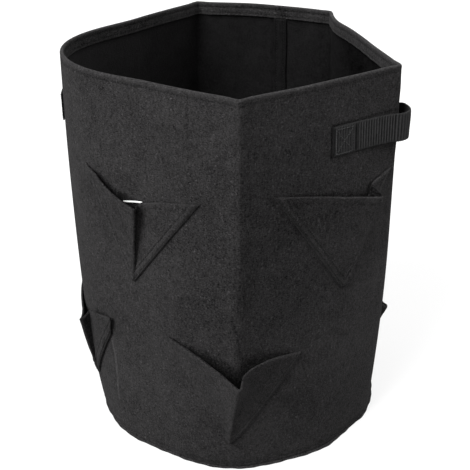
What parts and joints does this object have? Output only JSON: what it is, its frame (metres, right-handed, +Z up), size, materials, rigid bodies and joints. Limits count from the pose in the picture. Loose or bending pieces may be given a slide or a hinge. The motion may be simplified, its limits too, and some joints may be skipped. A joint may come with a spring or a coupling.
{
  "type": "strawberry grow bag",
  "caption": "Open felt tub for growing strawberries, with V-shaped planting pockets on its wall in two rows and flat webbing handles.",
  "frame": {"origin": "middle of the underside of the base, on the surface that the bag stands on", "axes": "+Z up to the rim; -Y towards the front fold of the rim; +X to the right as seen from the front"},
  "size_m": [0.3705, 0.4254, 0.45],
  "materials": {
    "felt": "dark grey non-woven felt, matt and fibrous",
    "webbing": "black ribbed polypropylene webbing",
    "white_tape": "plain white woven tape"
  },
  "bodies": {
    "root": {"bag_wall": "felt", "bag_base": "felt", "back_seam": "felt", "pocket_upper_left": "felt", "pocket_upper_right": "felt", "pocket_upper_back_right": "felt", "pocket_upper_back_left": "felt", "pocket_lower_front": "felt", "pocket_lower_right": "felt", "pocket_lower_back": "felt", "pocket_lower_left": "felt", "handle_right": "webbing", "handle_left": "webbing", "white_tab": "white_tape"}
  },
  "joints": []
}
